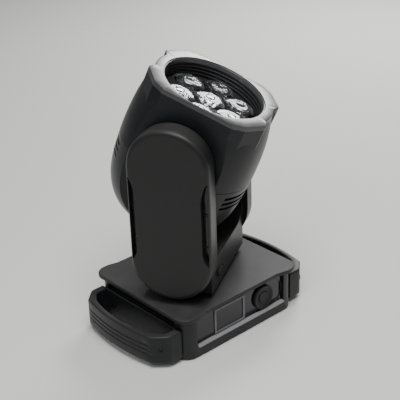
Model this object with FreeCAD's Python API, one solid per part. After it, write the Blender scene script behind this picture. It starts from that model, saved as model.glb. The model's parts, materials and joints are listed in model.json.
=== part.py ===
import FreeCAD, Part
import math
import os

V = FreeCAD.Vector
X, Y, Z = V(1, 0, 0), V(0, 1, 0), V(0, 0, 1)
ORIGIN = V(0, 0, 0)

# Compact moving head wash light, in millimetres.
# The origin is the centre of the base on the surface that it stands on.
# +Z is up and the display looks along -Y.

# Pose that the light is stored in.
REST_PAN = 30.0
REST_TILT = 24.0

# Base.
BASE_HALF_X = 115.5
BASE_HALF_Y = 103.0
BASE_TOP = 72.0
PLATE = 5.0
FOOT = 4.0
FLOOR = 3.0
TUB_HALF_X = 109.5
TUB_HALF_Y = 97.0
TUB_WALL = 4.0
TUB_CORNER = 20.0
RIM_TOP = 18.0
POST_X = 87.0
PLATE_UNDER = BASE_TOP - PLATE
FLOOR_TOP = FOOT + FLOOR

# Carrying handles, D-shaped in plan.
HANDLE_REACH = 159.0
HANDLE_LOW = 8.0
HANDLE_HIGH = 52.0
HANDLE_WALL = 8.0

# Fastening points underneath.
CLAMP_PITCH = 106.0
CLAMP_R = 4.75
CLAMP_BODY_R = 9.0
EYE_Y = 66.0
EYE_R = 5.5

# Front panel, display and dial.
PANEL_HALF_X = 89.0
PANEL_BACK = TUB_HALF_Y - TUB_WALL - 3
PANEL_FACE = TUB_HALF_Y - TUB_WALL
DISPLAY_X = (-49.0, 6.0)
DISPLAY_Z = (24.0, 60.0)
DIAL_X = 46.5
DIAL_Z = 41.5
DIAL_R = 19.0
BUTTON_R = 9.0

# Sockets in the rear panel.
SOCKET_Z = 42.0
SOCKET_R = 11.5
SOCKET_DEPTH = 14.0
SOCKET_XS = {"power_inlet": -63.0, "power_outlet": -25.0, "data_inlet": 20.0, "data_outlet": 58.0}

# Yoke.
ARM_R = 58.5
ARM_IN = 79.5
ARM_PLATE = 8.0
ARM_OUT = 109.5
ARM_LOW = BASE_TOP + 8.0
TILT_Z = BASE_TOP + 206.0
ARM_LOW_CENTRE = ARM_LOW + ARM_R
SKIN = ARM_IN + ARM_PLATE
BAR_HALF_Y = 50.0
BAR_TOP = ARM_LOW + 45.0
BAR_CURVE = 30.0
BAR_WALL = 4.0
SCREW_ZS = (168.0, 216.0)
SCREW_Y = 51.4
EDGE_LIP = 2.7
LOCK_X = -38.0
LOCK_Z = 98.0
LOCK_LOW = 230.0

# Head, in its own frame: the tilt axis is X through the origin and the beam leaves along +Z.
FLAT_X = 76.0
BEZEL_TOP = 91.0
BEZEL_LOW = 84.0
MOUTH_R = 72.0
RIM_R = 87.0
SPLIT_Z = -16.0
TAIL_Z = -122.0
SHELL = 3.0
FRONT_CURVE = [(100.0, SPLIT_Z), (99.6, 10.0), (96.5, 45.0), (RIM_R, BEZEL_LOW)]
REAR_CURVE = [(46.0, TAIL_Z), (74.0, TAIL_Z + 8), (88.0, TAIL_Z + 28), (97.5, -56.0), (100.0, SPLIT_Z - 0.5)]

# Optics.
LENS_FLATS = 44.0
LENS_PITCH = 45.0
CARRIAGE_LOW = 62.0
CARRIAGE_DOWN = 12.0
BARREL_LOW = CARRIAGE_LOW - CARRIAGE_DOWN - 4.0
CARRIAGE_R = 69.5
ROD_RING = 61.0
LED_Z = 12.0
SCREW_R = 3.0
GUIDE_R = 2.5

# Cooling.
SINK_HALF_X = 61.5
FAN_LOW = -82.0
FAN_HIGH = -58.0

# Drives.
SHAFT_R = 14.0
FIT = 0.05
GAP = 0.4
BELT = 1.4
PULLEY_LOW = 92.0
PULLEY_HIGH = 100.0
TILT_PULLEY_R = 28.0
PAN_PULLEY_R = 32.0
PINION_R = 8.0
PINION_TEETH = 16
PAN_TEETH = 64
TILT_TEETH = 56
PAN_MOTOR_X = 54.0
TILT_MOTOR_Z = ARM_LOW + 24.5
TILT_WHEEL_IN = 93.0
TILT_WHEEL_OUT = 101.0
SPINDLE_R = 20.0
SPINDLE_BORE = 14.0
BEARING_R = 22.0


# Plain shapes

def block(x0, x1, y0, y1, z0, z1):
    return Part.makeBox(x1 - x0, y1 - y0, z1 - z0, V(x0, y0, z0))


def rod(radius, low, high, x=0.0, y=0.0):
    return Part.makeCylinder(radius, high - low, V(x, y, low), Z)


def rod_x(radius, low, high, y=0.0, z=0.0):
    return Part.makeCylinder(radius, high - low, V(low, y, z), X)


def rod_y(radius, low, high, x=0.0, z=0.0):
    return Part.makeCylinder(radius, high - low, V(x, low, z), Y)


def ring(outer, inner, low, high, x=0.0, y=0.0):
    return rod(outer, low, high, x, y).cut(rod(inner, low, high, x, y))


def ring_x(outer, inner, low, high, y=0.0, z=0.0):
    return rod_x(outer, low, high, y, z).cut(rod_x(inner, low, high, y, z))


def prism(points, low, high):
    path = [V(x, y, low) for x, y in points]
    face = Part.Face(Part.makePolygon(path + path[:1]))
    return face.extrude(V(0, 0, high - low))


def runs_along(edge, direction):
    ends = edge.Vertexes
    if len(ends) != 2:
        return False
    span = ends[1].Point.sub(ends[0].Point)
    return span.Length > 1e-6 and abs(abs(span.dot(direction)) - span.Length) < 1e-6


def round_upright(solid, radius, chosen=lambda point: True):
    edges = [edge for edge in solid.Edges if runs_along(edge, Z) and chosen(edge.CenterOfMass)]
    return solid.makeFillet(radius, edges)


def round_level(solid, radius, height):
    edges = [edge for edge in solid.Edges
             if abs(edge.BoundBox.ZMin - height) < 1e-4 and abs(edge.BoundBox.ZMax - height) < 1e-4]
    return solid.makeFillet(radius, edges)


def rounded_box(half_x, half_y, low, high, radius):
    return round_upright(block(-half_x, half_x, -half_y, half_y, low, high), radius)


def fuse(shapes):
    whole = shapes[0]
    for shape in shapes[1:]:
        whole = whole.fuse(shape)
    return whole.removeSplitter()


def cut_all(shape, tools):
    for tool in tools:
        shape = shape.cut(tool)
    return shape


def mirrored(shape, normal):
    return shape.mirror(ORIGIN, normal)


def moved(shape, x=0.0, y=0.0, z=0.0):
    copy = shape.copy()
    copy.translate(V(x, y, z))
    return copy


def turned(shape, angle, axis=Z, centre=ORIGIN):
    copy = shape.copy()
    copy.rotate(centre, axis, angle)
    return copy


def pill_x(radius, low, high, top_z, low_z):
    """A stadium that stands upright, with its thickness along X."""
    middle = block(low, high, -radius, radius, low_z, top_z)
    ends = [rod_x(radius, low, high, 0, top_z), rod_x(radius, low, high, 0, low_z)]
    return fuse([middle] + ends)


def slot_y(half_length, radius, low, high, x, z):
    """A level stadium, with its thickness along Y."""
    middle = block(x - half_length, x + half_length, low, high, z - radius, z + radius)
    ends = [rod_y(radius, low, high, x - half_length, z), rod_y(radius, low, high, x + half_length, z)]
    return fuse([middle] + ends)


def belt_outline(big_r, small_r, distance, low, high):
    """The solid inside a belt round two pulleys, the small one at a distance along X."""
    lean = math.acos((big_r - small_r) / distance)
    big = [(big_r * math.cos(a), big_r * math.sin(a)) for a in (lean, -lean)]
    small = [(distance + small_r * math.cos(a), small_r * math.sin(a)) for a in (-lean, lean)]
    return fuse([prism(big + small, low, high), rod(big_r, low, high), rod(small_r, low, high, distance)])


def belt(big_r, small_r, distance, low, high):
    outside = belt_outline(big_r + GAP + BELT, small_r + GAP + BELT, distance, low, high)
    return outside.cut(belt_outline(big_r + GAP, small_r + GAP, distance, low, high))


def toothed(radius, low, high, teeth):
    """A belt pulley with shallow teeth between two plain rims."""
    wheel = rod(radius, low, high)
    groove = block(radius - 0.8, radius + 1, -0.6, 0.6, low + 1, high - 1)
    grooves = [turned(groove, 360.0 * index / teeth) for index in range(teeth)]
    return wheel.cut(Part.makeCompound(grooves))


# Places

def on_yoke(shape):
    return turned(shape, REST_PAN)


def on_head(shape):
    tilted = turned(shape, REST_TILT, X)
    return on_yoke(moved(tilted, z=TILT_Z))


def save(name, *solids):
    shape = solids[0] if len(solids) == 1 else Part.makeCompound(list(solids))
    if not shape.isValid():
        print("not valid:", name)
    shape.exportStep("parts/" + name + ".step")
    print(name, len(shape.Solids), round(shape.Volume / 1000.0, 1))


# Base

def base_feet():
    return [rod(9, 0, FOOT, sx * 84, sy * 76) for sx in (-1, 1) for sy in (-1, 1)]


def clamp_places():
    half = CLAMP_PITCH / 2
    return [(sx * half, sy * half) for sx in (-1, 1) for sy in (-1, 1)]


def floor_plate():
    plate = rounded_box(TUB_HALF_X - TUB_WALL, TUB_HALF_Y - TUB_WALL, FOOT, FLOOR_TOP, TUB_CORNER - TUB_WALL)
    holes = [rod(CLAMP_BODY_R, 0, 20, x, y) for x, y in clamp_places()]
    eye_window = round_upright(block(-22, 22, EYE_Y - 12, EYE_Y + 12, 0, 20), 5)
    return cut_all(plate, holes + [eye_window])


def clamp_sockets():
    return [rod(CLAMP_BODY_R, FOOT, 18, x, y).cut(rod(CLAMP_R, 0, 16, x, y)) for x, y in clamp_places()]


def safety_eye():
    """Drilled steel bar across the window: a snap hook comes up beside it and down through its hole."""
    bar = rounded_box(9.5, 20, FLOOR_TOP, FLOOR_TOP + 4, 4)
    return moved(bar, y=EYE_Y).cut(rod(EYE_R, 0, 20, 0, EYE_Y))


def tub():
    """Moulded lower body: a rim all round and a rounded post at each corner."""
    outside = rounded_box(TUB_HALF_X, TUB_HALF_Y, FOOT, PLATE_UNDER, TUB_CORNER)
    inside = rounded_box(TUB_HALF_X - TUB_WALL, TUB_HALF_Y - TUB_WALL, 0, BASE_TOP, TUB_CORNER - TUB_WALL)
    front_windows = block(-POST_X, POST_X, -150, 150, RIM_TOP, BASE_TOP)
    side_windows = block(-150, 150, -74, 74, RIM_TOP, BASE_TOP)
    return cut_all(outside, [inside, front_windows, side_windows])


def top_plate():
    """Lid whose corners stand a little proud of its front and back edges."""
    notch = 80.0
    inset = BASE_HALF_Y - 4.0
    quarter = [(notch - 8, inset), (notch + 8, BASE_HALF_Y), (BASE_HALF_X, BASE_HALF_Y)]
    right = quarter + [(x, -y) for x, y in reversed(quarter)]
    outline = right + [(-x, y) for x, y in reversed(right)]
    plate = prism(outline, PLATE_UNDER, BASE_TOP)
    plate = round_upright(plate, 20, lambda p: abs(p.x) > 110)
    plate = round_upright(plate, 16, lambda p: abs(p.x) < 100)
    plate = round_level(plate, 1.6, BASE_TOP)
    return plate.cut(rod(SPINDLE_R, 0, 100))


def d_block(reach, half_y, near_x, low, high, radius):
    """Block on the +X side that is D-shaped in plan: square to the base, bowed outwards."""
    end_x = near_x + 0.44 * (reach - near_x)
    bow_x = reach - 9.0
    bow_y = half_y - 17.0
    bow = Part.Arc(V(bow_x, -bow_y, low), V(reach, 0, low), V(bow_x, bow_y, low)).toShape()
    path = [V(bow_x, bow_y, low), V(end_x, half_y, low), V(near_x, half_y, low),
            V(near_x, -half_y, low), V(end_x, -half_y, low), V(bow_x, -bow_y, low)]
    wire = Part.Wire([bow] + Part.makePolygon(path).Edges)
    solid = Part.Face(wire).extrude(V(0, 0, high - low))
    return round_upright(solid, radius, lambda point: point.x > near_x + 1)


def handle():
    """Side handle on the +X side, with a finger space that is open above and below."""
    outside = d_block(HANDLE_REACH, 89.0, TUB_HALF_X, HANDLE_LOW, HANDLE_HIGH, 12)
    outside = round_level(outside, 2.5, HANDLE_HIGH)
    inner = d_block(HANDLE_REACH - HANDLE_WALL, 77.0, TUB_HALF_X + 3, 0, 100, 9)
    return outside.cut(inner)


def side_grille():
    """Louvred inner wall behind the side window on the +X side."""
    wall = block(102.5, TUB_HALF_X - TUB_WALL, -76.5, 76.5, FLOOR_TOP, PLATE_UNDER)
    louvres = [block(100, 110, -66, 66, z, z + 3) for z in range(22, 62, 7)]
    return cut_all(wall, louvres)


def front_panel():
    panel = block(-PANEL_HALF_X, PANEL_HALF_X, -PANEL_FACE, -PANEL_BACK, FLOOR_TOP, PLATE_UNDER)
    window = block(DISPLAY_X[0], DISPLAY_X[1], -100, 0, DISPLAY_Z[0], DISPLAY_Z[1])
    dial_hole = rod_y(DIAL_R - 4, -100, 0, DIAL_X, DIAL_Z)
    pocket = slot_y(19, 21.5, -100, -PANEL_FACE + 1.2, DIAL_X - 1, DIAL_Z)
    return cut_all(panel, [window, dial_hole, pocket])


def display_frame():
    x0, x1 = DISPLAY_X
    z0, z1 = DISPLAY_Z
    outside = block(x0 - 2, x1 + 2, -PANEL_FACE - 1.5, -PANEL_FACE, z0 - 2, z1 + 2)
    return outside.cut(block(x0 + 1, x1 - 1, -100, 0, z0 + 1, z1 - 1))


def display_window():
    x0, x1 = DISPLAY_X
    z0, z1 = DISPLAY_Z
    return block(x0, x1, -PANEL_FACE, -PANEL_FACE + 1.6, z0, z1)


def display_module():
    x0, x1 = DISPLAY_X
    z0, z1 = DISPLAY_Z
    board = block(x0 - 4, x1 + 4, -PANEL_BACK + 3, -PANEL_BACK + 4.6, z0 - 6, z1 + 2)
    screen = block(x0 + 1, x1 - 1, -PANEL_FACE + 1.6, -PANEL_BACK + 3, z0 + 1, z1 - 1)
    return board.fuse(screen)


def trim_strip():
    return block(-POST_X + 1, POST_X - 1, -TUB_HALF_Y - 2.5, -PANEL_FACE, RIM_TOP, RIM_TOP + 2.5)


def jog_dial():
    """Ring that turns, dished at the front, with finger ribs round its edge."""
    face = -PANEL_FACE - 3.5
    body = rod_y(DIAL_R, face, -PANEL_FACE + 0.8, DIAL_X, DIAL_Z)
    collar = rod_y(DIAL_R - 4.4, face, -PANEL_BACK + 4, DIAL_X, DIAL_Z)
    dish = Part.makeCone(DIAL_R - 2.5, BUTTON_R + 2, 2.2, V(DIAL_X, face, DIAL_Z), Y)
    bore = rod_y(BUTTON_R + GAP, -110, 0, DIAL_X, DIAL_Z)
    dial = cut_all(body.fuse(collar), [dish, bore])
    ribs = []
    for index in range(24):
        angle = math.radians(index * 15.0)
        ribs.append(rod_y(0.9, face - 1, -PANEL_FACE - 0.8,
                          DIAL_X + DIAL_R * math.cos(angle), DIAL_Z + DIAL_R * math.sin(angle)))
    return dial.cut(Part.makeCompound(ribs))


def dial_button():
    return rod_y(BUTTON_R, -PANEL_FACE - 2.6, -PANEL_BACK + 6, DIAL_X, DIAL_Z)


def rear_panel():
    panel = block(-PANEL_HALF_X, PANEL_HALF_X, PANEL_BACK, PANEL_FACE, FLOOR_TOP, PLATE_UNDER)
    return cut_all(panel, [rod_y(12.5, 0, 100, x, SOCKET_Z) for x in SOCKET_XS.values()])


def socket_body(x):
    """Round chassis socket on a square flange, open to the rear."""
    flange = block(x - 15, x + 15, PANEL_FACE, PANEL_FACE + 2, SOCKET_Z - 17, SOCKET_Z + 17)
    flange = flange.makeFillet(4, [edge for edge in flange.Edges if runs_along(edge, Y)])
    body = rod_y(12.5, PANEL_FACE - SOCKET_DEPTH - 3, PANEL_FACE, x, SOCKET_Z)
    cavity = rod_y(SOCKET_R, PANEL_FACE + 2 - SOCKET_DEPTH, 110, x, SOCKET_Z)
    return flange.fuse(body).cut(cavity)


def power_socket(x, key_up):
    floor_y = PANEL_FACE + 2 - SOCKET_DEPTH
    body = socket_body(x)
    blades = [block(x + dx - 2.4, x + dx + 2.4, floor_y, floor_y + 6, SOCKET_Z - 0.8, SOCKET_Z + 0.8)
              for dx in (-5.0, 5.0)]
    earth = block(x - 0.8, x + 0.8, floor_y, floor_y + 6, SOCKET_Z - 7, SOCKET_Z - 3)
    side = 1 if key_up else -1
    key_z = sorted((SOCKET_Z + side * 9.0, SOCKET_Z + side * 12.0))
    key = block(x - 2, x + 2, floor_y, PANEL_FACE, key_z[0], key_z[1])
    return fuse([body, key, earth] + blades)


def data_socket(x, pins):
    """Five-pole round connector, with pins or with a socketed core."""
    floor_y = PANEL_FACE + 2 - SOCKET_DEPTH
    body = socket_body(x)
    places = [(x + 5 * math.cos(math.radians(a)), SOCKET_Z + 5 * math.sin(math.radians(a)))
              for a in (-50, 0, 50, 130, 180)]
    if pins:
        return fuse([body] + [rod_y(1.0, floor_y, floor_y + 6, px, pz) for px, pz in places])
    core = rod_y(SOCKET_R, floor_y, floor_y + 6, x, SOCKET_Z)
    return fuse([body, cut_all(core, [rod_y(1.2, floor_y + 1, 120, px, pz) for px, pz in places])])


def base_screws():
    rear = [rod_y(3, PANEL_FACE, PANEL_FACE + 1.6, sx * 82, z) for sx in (-1, 1) for z in (28, 58)]
    sides = []
    for sx in (-1, 1):
        for sy in (-1, 1):
            low = min(sx * (TUB_HALF_X + 3), sx * (TUB_HALF_X + 5))
            sides.append(rod_x(3, low, low + 2, sy * 60, 30))
    heads = []
    for head in rear:
        centre = head.BoundBox.Center
        recess = block(centre.x - 2, centre.x + 2, PANEL_FACE + 0.8, 100, centre.z - 0.5, centre.z + 0.5)
        heads.append(head.cut(recess))
    return heads + sides


def power_supply():
    return rounded_box(30, 20, FLOOR_TOP, 50, 2)


def control_board():
    """Main circuit board on four posts, with a heat spreader and two plug headers."""
    board = block(-80, -28, -74, -24, 22, 23.6)
    posts = [rod(3, FLOOR_TOP, 22, x, y) for x in (-76, -32) for y in (-70, -28)]
    parts = [block(-72, -58, -60, -46, 23.6, 28), block(-50, -32, -40, -32, 23.6, 32),
             block(-74, -60, -38, -32, 23.6, 31)]
    return fuse([board] + posts + parts)


def pan_spindle():
    """Hollow pivot fixed to the base, with the flange that carries the yoke's bearing."""
    tube = ring(SPINDLE_R, SPINDLE_BORE, 56, 108)
    flange = ring(38, SPINDLE_R, BASE_TOP, BASE_TOP + 5)
    under = ring(32, SPINDLE_R, 60, PLATE_UNDER)
    return fuse([tube, flange, under])


def pan_pulley():
    wheel = toothed(PAN_PULLEY_R, PULLEY_LOW, PULLEY_HIGH, PAN_TEETH)
    return wheel.cut(rod(SPINDLE_R, 0, 200))


# Yoke

def bar_section(inset, low):
    """Front view of the crossbar with its curved inner corners, as a face in the XZ plane."""
    top = BAR_TOP - inset
    curve = BAR_CURVE + inset
    lift = top + curve
    reach = ARM_IN - BAR_CURVE
    end = reach + curve
    diagonal = curve * math.sqrt(0.5)
    corner = Part.Arc(V(reach, 0, top), V(reach + diagonal, 0, lift - diagonal), V(end, 0, lift)).toShape()
    lines = [Part.makeLine(V(reach, 0, top), V(-reach, 0, top)),
             Part.makeLine(V(end, 0, lift), V(end, 0, low)),
             Part.makeLine(V(end, 0, low), V(-end, 0, low)),
             Part.makeLine(V(-end, 0, low), V(-end, 0, lift))]
    return Part.Face(Part.Wire(Part.__sortEdges__([corner, corner.mirror(ORIGIN, X)] + lines)))


def bar_solid(inset, low, half_y):
    face = moved(bar_section(inset, low), y=-half_y)
    whole = face.extrude(V(0, 2 * half_y, 0))
    return whole.common(block(-ARM_IN, ARM_IN, -half_y, half_y, low, TILT_Z))


def yoke_frame():
    """Cast frame: a trough across the bottom and a flat pill-shaped plate up each side."""
    trough = bar_solid(0.0, ARM_LOW, BAR_HALF_Y)
    hollow_y = BAR_HALF_Y - BAR_WALL
    hollow = block(-ARM_IN + 4, ARM_IN - 4, -hollow_y, hollow_y, ARM_LOW + BAR_WALL, TILT_Z)
    trough = trough.cut(hollow)
    boss = rod(36, ARM_LOW, ARM_LOW + 10)
    frame = fuse([trough, boss])
    plate = pill_x(ARM_R, ARM_IN, SKIN, TILT_Z, ARM_LOW_CENTRE)
    plate = plate.cut(rod_x(BEARING_R, 0, 200, 0, TILT_Z))
    frame = fuse([frame, plate, mirrored(plate, X)])
    cuts = [rod(30, 0, 200), rod_x(12, -120, -60, 0, TILT_MOTOR_Z)]
    cuts.append(slot_y(8, 4.4, -60, 0, LOCK_X, LOCK_Z))
    cuts.append(rod_y(4, BAR_HALF_Y - 10, BAR_HALF_Y + 10, 0, BAR_TOP - 20))
    middle = (ARM_IN + SKIN) / 2
    cuts.append(block(middle - 2, middle + 2, ARM_R - 6, ARM_R + 5, LOCK_LOW + 2.5, LOCK_LOW + 19))
    return cut_all(frame, cuts)


def bar_lid():
    """Curved cover that closes the top of the crossbar between its two walls."""
    inner_y = BAR_HALF_Y - BAR_WALL
    outside = bar_solid(0.0, ARM_LOW + 12, inner_y)
    inside = bar_solid(2.5, ARM_LOW, inner_y + 5)
    lid = outside.cut(inside)
    return lid.common(block(-ARM_IN + 4, ARM_IN - 4, -60, 60, ARM_LOW + 12, TILT_Z))


def arm_cover():
    """Outer cover of the +X arm: rounded edge, and a rebate with a thin lip down each long side."""
    shell = pill_x(ARM_R, SKIN, ARM_OUT, TILT_Z, ARM_LOW_CENTRE)
    rim = [edge for edge in shell.Edges if abs(edge.BoundBox.XMin - ARM_OUT) < 1e-4]
    shell = shell.makeFillet(7, rim)
    shell = shell.cut(pill_x(45.0, 90, ARM_OUT - 2.5, TILT_Z, ARM_LOW_CENTRE))
    shell = shell.cut(pill_x(54.0, SKIN - 1, 95, TILT_Z, ARM_LOW_CENTRE))
    for side in (-1, 1):
        shell = shell.cut(rebate(side, 98.0, 130.0))
    return shell


def rebate(side, low_x, high_x, shrink=0.0):
    """Pointed hollow inside one long edge of the arm, from the shoulder down to a curved foot."""
    wide = 64.0
    narrow = 47.0 + shrink
    top = TILT_Z - 2.0 - shrink
    low = ARM_LOW_CENTRE - 6.0 + shrink
    high = [V(low_x, wide, top), V(low_x, narrow + 3.2, top - 22), V(low_x, narrow, top - 52)]
    foot = [V(low_x, narrow, low + 34), V(low_x, narrow + 3.6, low + 14), V(low_x, wide, low)]
    curves = [Part.Arc(*high).toShape(), Part.Arc(*foot).toShape()]
    lines = [Part.makeLine(high[2], foot[0]), Part.makeLine(foot[2], high[0])]
    face = Part.Face(Part.Wire(Part.__sortEdges__(curves + lines)))
    solid = face.extrude(V(high_x - low_x, 0, 0))
    inside = pill_x(ARM_R - EDGE_LIP - shrink, low_x, high_x, TILT_Z, ARM_LOW_CENTRE)
    solid = solid.common(inside)
    return solid if side > 0 else solid.mirror(ORIGIN, Y)


def arm_trims():
    """Two dark strips that line the rebates of the +X arm."""
    strips = []
    for side in (-1, 1):
        strip = rebate(side, 98.0, 99.6, 0.6)
        strips.append(cut_all(strip, [rod_x(2.9, 90, 110, side * SCREW_Y, z) for z in SCREW_ZS]))
    return strips


def cover_screws():
    heads = []
    for side in (-1, 1):
        for z in SCREW_ZS:
            head = rod_x(2.6, 98, 100.2, side * SCREW_Y, z)
            heads.append(head.cut(rod_x(1.3, 99.2, 101, side * SCREW_Y, z)))
    return heads + [mirrored(head, X) for head in heads]


def tilt_bearing():
    return ring_x(BEARING_R, SHAFT_R + FIT, ARM_IN, SKIN, 0, TILT_Z)


def pan_bearing():
    return ring(30, SPINDLE_R + FIT, ARM_LOW, ARM_LOW + 10)


def motor(half, low, high, shaft_r):
    """Square stepping motor that stands along Z, bored for its turning shaft."""
    can = block(-half, half, -half, half, low, high)
    can = can.makeChamfer(3, [edge for edge in can.Edges if runs_along(edge, Z)])
    return can.cut(rod(shaft_r + FIT, low - 1, low + 8))


def pan_motor():
    return moved(motor(21, PULLEY_HIGH + 2, BAR_TOP - 4, 2.5), x=PAN_MOTOR_X)


def pan_pinion():
    wheel = toothed(PINION_R, PULLEY_LOW, PULLEY_HIGH, PINION_TEETH)
    return moved(wheel.fuse(rod(2.5, PULLEY_HIGH, PULLEY_HIGH + 8)), x=PAN_MOTOR_X)


def pan_belt():
    return belt(PAN_PULLEY_R, PINION_R, PAN_MOTOR_X, PULLEY_LOW + 0.6, PULLEY_HIGH - 0.6)


def tilt_motor():
    can = motor(17.5, 0, 34, 2.5)
    lying = turned(can, 90, Y)
    return moved(lying, x=-ARM_IN + 4.5, z=TILT_MOTOR_Z)


def tilt_pinion():
    wheel = toothed(PINION_R, TILT_WHEEL_IN, TILT_WHEEL_OUT, PINION_TEETH)
    shaft = rod(2.5, ARM_IN - 4.5 - 7, TILT_WHEEL_IN)
    lying = turned(wheel.fuse(shaft), -90, Y)
    return moved(lying, z=TILT_MOTOR_Z)


def tilt_belt():
    loop = belt(TILT_PULLEY_R, PINION_R, TILT_Z - TILT_MOTOR_Z, TILT_WHEEL_IN + 0.6, TILT_WHEEL_OUT - 0.6)
    hanging = mirrored(turned(loop, 90, Y), X)
    return moved(hanging, z=TILT_Z)


def driver_board():
    """Motor driver board on the inside of the +X arm's plate."""
    board = block(SKIN + 3, SKIN + 4.6, -24, 24, 150, 235)
    posts = [rod_x(2.5, SKIN, SKIN + 3, y, z) for y in (-20, 20) for z in (155, 230)]
    chips = [block(SKIN + 4.6, SKIN + 7, -8, 8, 165, 181), block(SKIN + 4.6, SKIN + 12, -20, -8, 200, 224)]
    return fuse([board] + posts + chips)


def pan_lock():
    """Oval thumb slider in the crossbar's front wall."""
    stem = slot_y(3.6, 3.9, -BAR_HALF_Y, -BAR_HALF_Y + BAR_WALL, LOCK_X - 4, LOCK_Z)
    head = slot_y(6.0, 5.2, -BAR_HALF_Y - 2.6, -BAR_HALF_Y - 0.4, LOCK_X - 4, LOCK_Z)
    link = slot_y(3.6, 3.9, -BAR_HALF_Y - 0.4, -BAR_HALF_Y, LOCK_X - 4, LOCK_Z)
    return fuse([stem, head, link])


def tilt_lock():
    """Thumb slider on the rear edge of the +X arm's plate, under the shoulder."""
    x = (ARM_IN + SKIN) / 2
    cap = round_upright(block(x - 3, x + 3, ARM_R + 0.4, ARM_R + 3.6, LOCK_LOW, LOCK_LOW + 14), 1.2)
    return cap.fuse(block(x - 1.5, x + 1.5, ARM_R - 5, ARM_R + 0.4, LOCK_LOW + 3, LOCK_LOW + 11))


# Head

def profile_solid(points, trim):
    """Turned solid from (radius, height) points joined by a smooth curve, cut to two side flats."""
    low, high = points[0][1], points[-1][1]
    curve = Part.BSplineCurve()
    curve.interpolate([V(r, 0, z) for r, z in points])
    edges = [curve.toShape(),
             Part.makeLine(V(points[-1][0], 0, high), V(0, 0, high)),
             Part.makeLine(V(0, 0, high), V(0, 0, low)),
             Part.makeLine(V(0, 0, low), V(points[0][0], 0, low))]
    face = Part.Face(Part.Wire(Part.__sortEdges__(edges)))
    solid = face.revolve(ORIGIN, Z, 360)
    return solid.common(block(-trim, trim, -200, 200, low - 1, high + 1))


def lobe_outline():
    """One corner of the front ring: the flat runs past the circle to a slanted lobe."""
    step = [(20.0, 60.0), (22.0, 83.5), (34.0, 90.0)]
    slant = [(66.0, 68.0), (FLAT_X, 52.0), (FLAT_X, 20.0), (20.0, 20.0)]
    return step + slant


def corner_lobes(low, high):
    quarter = round_upright(prism(lobe_outline(), low, high), 7, lambda p: p.x > 30 and p.y > 60)
    half = [quarter, mirrored(quarter, X)]
    return half + [mirrored(shape, Y) for shape in half]


def ring_plan(low, high):
    disc = rod(RIM_R, low, high).common(block(-FLAT_X, FLAT_X, -100, 100, low, high))
    return fuse([disc] + corner_lobes(low, high))


def bezel():
    ring_solid = ring_plan(BEZEL_LOW, BEZEL_TOP)
    ring_solid = round_level(ring_solid, 1.2, BEZEL_TOP)
    mouth = Part.makeCone(MOUTH_R - 0.8, MOUTH_R + 1.2, BEZEL_TOP - BEZEL_LOW, V(0, 0, BEZEL_LOW), Z)
    return ring_solid.cut(mouth)


def inset_curve(points, amount):
    return [(r - amount, z) for r, z in points]


def front_housing():
    body = profile_solid(FRONT_CURVE, FLAT_X)
    body = fuse([body] + corner_lobes(18.0, BEZEL_LOW))
    hollow = profile_solid(inset_curve(FRONT_CURVE, SHELL), FLAT_X - SHELL)
    hollow = hollow.common(block(-100, 100, -100, 100, SPLIT_Z - 1, BEZEL_LOW - 2.5))
    body = cut_all(body, [hollow, rod(MOUTH_R, 0, 100)])
    return body.cut(rod_x(SHAFT_R, -100, 100))


def rear_housing():
    body = profile_solid(REAR_CURVE, FLAT_X)
    inner = [(r - SHELL, z) for r, z in REAR_CURVE[1:-1]]
    inner = [(REAR_CURVE[0][0], TAIL_Z + SHELL)] + inner + [(REAR_CURVE[-1][0] - SHELL, SPLIT_Z)]
    hollow = profile_solid(inner, FLAT_X - SHELL)
    vents = []
    for z in (-30.0, -39.0, -48.0):
        vents.append(block(-56, 56, -120, 120, z, z + 4.5))
    slots = [block(x - 2.5, x + 2.5, -32, 32, TAIL_Z - 5, TAIL_Z + 10) for x in range(-32, 33, 8)]
    body = cut_all(body, [hollow] + vents + slots)
    return body.cut(rod_x(SHAFT_R, -100, 100))


def barrel():
    """Dark tube that the lens plate slides in, with a ledge inside its lower end."""
    tube = ring(MOUTH_R, CARRIAGE_R + 0.6, BARREL_LOW, BEZEL_LOW)
    ledge = ring(MOUTH_R, CARRIAGE_R - 1.5, BARREL_LOW - 4, BARREL_LOW)
    return fuse([tube, ledge])


def hexagon(across, low, high, x, y):
    points = []
    for index in range(6):
        angle = math.radians(30 + 60 * index)
        radius = across / math.sqrt(3)
        points.append((x + radius * math.cos(angle), y + radius * math.sin(angle)))
    return prism(points, low, high)


def lens_places():
    around = [(LENS_PITCH * math.cos(math.radians(60 * k)), LENS_PITCH * math.sin(math.radians(60 * k)))
              for k in range(6)]
    return [(0.0, 0.0)] + around


def ring_place(angle):
    return ROD_RING * math.cos(math.radians(angle)), ROD_RING * math.sin(math.radians(angle))


def lens_plate():
    """Plate that carries the lenses, with a nut for the lead screw underneath."""
    plate = rod(CARRIAGE_R, CARRIAGE_LOW, CARRIAGE_LOW + 3)
    plate = cut_all(plate, [rod(17, 0, 100, x, y) for x, y in lens_places()])
    for angle in (30, 150):
        x, y = ring_place(angle)
        plate = plate.cut(rod(GUIDE_R, 0, 100, x, y))
    x, y = ring_place(270)
    nut = rod(6.0, CARRIAGE_LOW - 12, CARRIAGE_LOW, x, y)
    return plate.fuse(nut).cut(rod(SCREW_R + FIT, 0, 100, x, y))


def lenses():
    """Seven hexagonal lenses with domed tops."""
    top = CARRIAGE_LOW + 14
    ball_r = 44.0
    solids = []
    for x, y in lens_places():
        ball = Part.makeSphere(ball_r, V(x, y, top - ball_r))
        solids.append(hexagon(LENS_FLATS, CARRIAGE_LOW + 3, top, x, y).common(ball))
    return solids


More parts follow.
